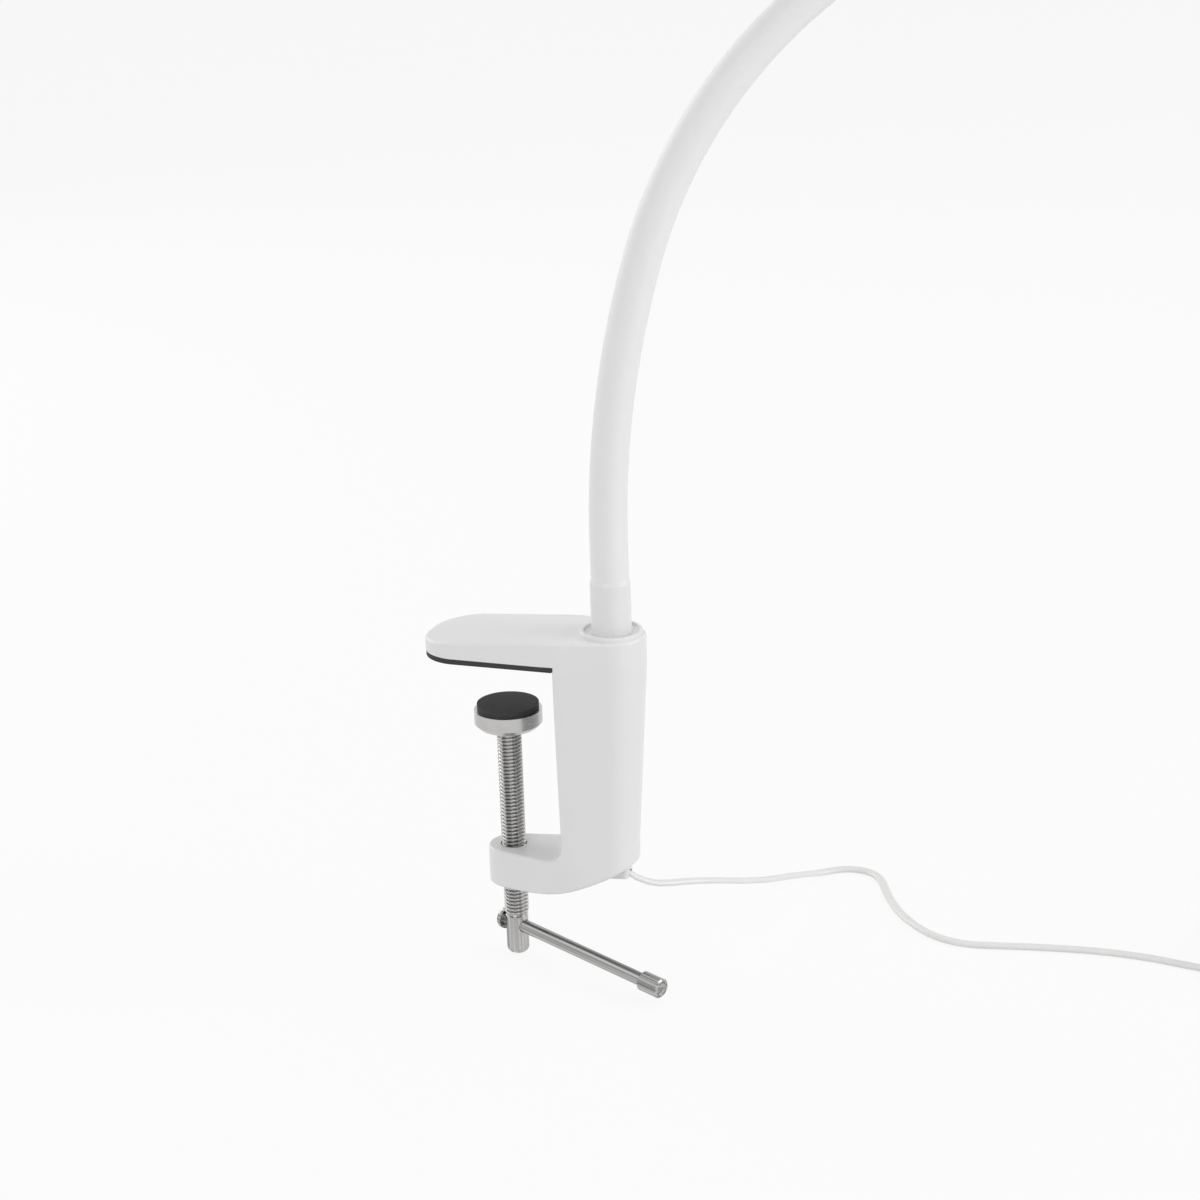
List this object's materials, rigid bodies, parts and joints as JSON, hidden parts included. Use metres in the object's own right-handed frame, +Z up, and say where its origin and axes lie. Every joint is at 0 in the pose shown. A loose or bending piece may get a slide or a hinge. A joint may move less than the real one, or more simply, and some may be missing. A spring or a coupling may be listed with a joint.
{
  "type": "gooseneck clamp lamp",
  "caption": "White desk lamp on a C-clamp: screw with sliding tommy bar and swivel foot, bendable sleeved gooseneck, small round LED head with push switch, and a cord to a plug-in adapter.",
  "frame": {"origin": "on the rubber face of the upper jaw, where the axis of the clamp screw meets it", "axes": "+Z up along the clamp screw, +X away from the table edge, so the jaws reach towards -X"},
  "size_m": [0.3365, 0.2129, 0.3452],
  "materials": {
    "white_plastic": "satin white moulded plastic",
    "white_sleeve": "satin white plastic sleeve",
    "rubber": "black rubber",
    "plated_steel": "bright zinc-plated steel",
    "polished_steel": "polished plated steel",
    "brass": "turned brass",
    "alu": "plain aluminium",
    "core_steel": "spring-wire conduit",
    "cord_pvc": "glossy white flat twin cord",
    "wire": "thin insulated wire",
    "splice": "insulated crimp",
    "board": "white circuit board",
    "led": "yellow phosphor chip",
    "mirror": "vapour-coated reflector",
    "lens": "frosted diffuser",
    "dark": "dark moulded plastic",
    "tie": "coated wire tie"
  },
  "bodies": {
    "clamp": {"clamp_body": "white_plastic", "jaw_pad": "rubber", "thread_insert": "brass", "bottom_cover": "white_plastic", "cover_screws": "plated_steel", "cord_bush": "white_plastic", "inner_cord": "cord_pvc", "wire_splices": "splice", "neck_base_stud": "brass", "base_ferrule": "white_plastic", "neck_washer": "plated_steel", "neck_nut": "plated_steel", "neck_core_1": "core_steel", "neck_sleeve": "white_sleeve", "lead_wires": "wire", "cord_lead": "cord_pvc", "cord_coil": "cord_pvc", "cord_tie": "tie", "cord_tail": "cord_pvc", "adapter_relief": "white_plastic", "adapter_base": "white_plastic", "adapter_lid": "white_plastic", "adapter_core": "dark", "plug_pins": "plated_steel"},
    "foot": {"pressure_foot": "plated_steel", "foot_pad": "rubber"},
    "screw": {"clamp_screw": "plated_steel", "foot_clip": "plated_steel"},
    "bar": {"tommy_bar": "polished_steel", "bar_caps": "polished_steel"},
    "neck_1": {"neck_core_2": "core_steel"},
    "neck_2": {"neck_core_3": "core_steel"},
    "neck_3": {"neck_core_4": "core_steel"},
    "neck_4": {"neck_core_5": "core_steel"},
    "neck_5": {"neck_core_6": "core_steel"},
    "head": {"neck_core_7": "core_steel", "neck_end_stud": "brass", "end_ferrule": "white_plastic", "head_cap": "white_plastic", "head_washer": "plated_steel", "head_nut": "plated_steel", "head_shell": "white_plastic", "heat_sink": "alu", "sink_screws": "plated_steel", "terminal_block": "dark", "led_board": "board", "board_screws": "plated_steel", "led_chip": "led", "reflector": "mirror", "diffuser": "lens", "bezel": "white_plastic", "switch_body": "dark"},
    "button": {"switch_button": "white_plastic"}
  },
  "joints": [
    {"name": "foot_slide", "type": "slide", "parent": "clamp", "child": "foot", "axis": [0, 0, 1], "range_m": [-0.0401, 0.00876]},
    {"name": "screw_turn", "type": "hinge", "parent": "foot", "child": "screw", "pos_m": [0, 0, -0.06], "axis": [0, 0, 1], "range_deg": [-11520, 2520]},
    {"name": "bar_slide", "type": "slide", "parent": "screw", "child": "bar", "axis": [0.9274, -0.3653, -0.0802], "range_m": [-0.0507, 0]},
    {"name": "neck_bend_1", "type": "hinge", "parent": "clamp", "child": "neck_1", "pos_m": [0.03708, 0.00033, 0.06139], "axis": [-0.5, 0.866, 0], "range_deg": [-20, 35], "deforming": ["neck_sleeve", "lead_wires"]},
    {"name": "neck_bend_2", "type": "hinge", "parent": "neck_1", "child": "neck_2", "pos_m": [0.04614, 0.00557, 0.12238], "axis": [-0.8339, -0.4814, 0.2699], "range_deg": [-40, 40], "deforming": ["neck_sleeve", "lead_wires"]},
    {"name": "neck_bend_3", "type": "hinge", "parent": "neck_2", "child": "neck_3", "pos_m": [0.06972, 0.01918, 0.17761], "axis": [-0.5, 0.866, 0], "range_deg": [-35, 30], "deforming": ["neck_sleeve", "lead_wires"]},
    {"name": "neck_bend_4", "type": "hinge", "parent": "neck_3", "child": "neck_4", "pos_m": [0.11047, 0.0427, 0.21731], "axis": [-0.4108, -0.2372, 0.8804], "range_deg": [-40, 40], "deforming": ["neck_sleeve", "lead_wires"]},
    {"name": "neck_bend_5", "type": "hinge", "parent": "neck_4", "child": "neck_5", "pos_m": [0.16175, 0.07231, 0.23373], "axis": [-0.5, 0.866, 0], "range_deg": [-42, 30], "deforming": ["neck_sleeve", "lead_wires"]},
    {"name": "neck_bend_6", "type": "hinge", "parent": "neck_5", "child": "head", "pos_m": [0.21391, 0.10243, 0.22167], "axis": [0.363, 0.2096, 0.9079], "range_deg": [-42, 42], "deforming": ["neck_sleeve", "lead_wires"]},
    {"name": "switch_press", "type": "slide", "parent": "head", "child": "button", "axis": [-0.5795, -0.3346, -0.7431], "range_m": [0, 0.0012], "stiffness_N_per_m": 1500, "springref_m": -0.0006}
  ],
  "couplings": [
    {"joint": "foot_slide", "follows": "screw_turn", "m_per_rad": 0.00019894}
  ]
}
